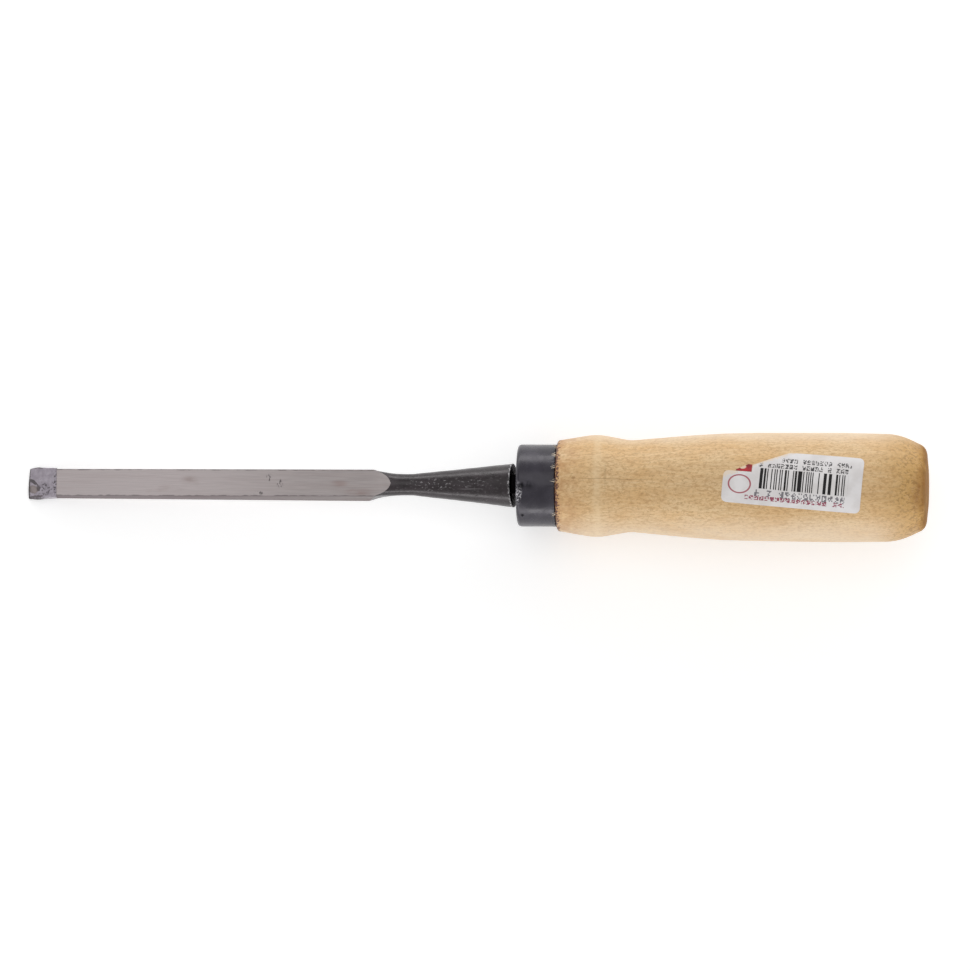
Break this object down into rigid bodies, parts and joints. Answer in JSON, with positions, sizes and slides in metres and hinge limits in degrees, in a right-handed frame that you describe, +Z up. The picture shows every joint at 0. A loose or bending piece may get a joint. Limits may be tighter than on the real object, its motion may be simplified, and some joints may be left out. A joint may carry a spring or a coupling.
{
  "type": "flat wood chisel",
  "caption": "Flat bench chisel lying on its back: narrow ground blade with a guarded tip, round neck, conical bolster, dark ferrule cap and turned wooden handle.",
  "frame": {"origin": "centre of the footprint on the bench, under the chisel as it lies at rest on its tip and on the bead of the handle", "axes": "+X from the cutting edge to the struck end of the handle, +Y across the blade, +Z up from the bench, bevel side up"},
  "size_m": [0.2504, 0.031, 0.0351],
  "materials": {
    "steel": "ground blade, black forging scale on the neck and bolster",
    "lacquer": "thin dipped lacquer, greyish lilac, pitted",
    "ferrule_plastic": "moulded, dark blue-grey, satin",
    "wood": "pale turned hardwood, sanded and thinly varnished",
    "label_paper": "matt white sticker with plain bars"
  },
  "bodies": {
    "root": {"blade": "steel", "edge_coat": "lacquer", "ferrule": "ferrule_plastic", "handle": "wood", "label": "label_paper"}
  },
  "joints": []
}
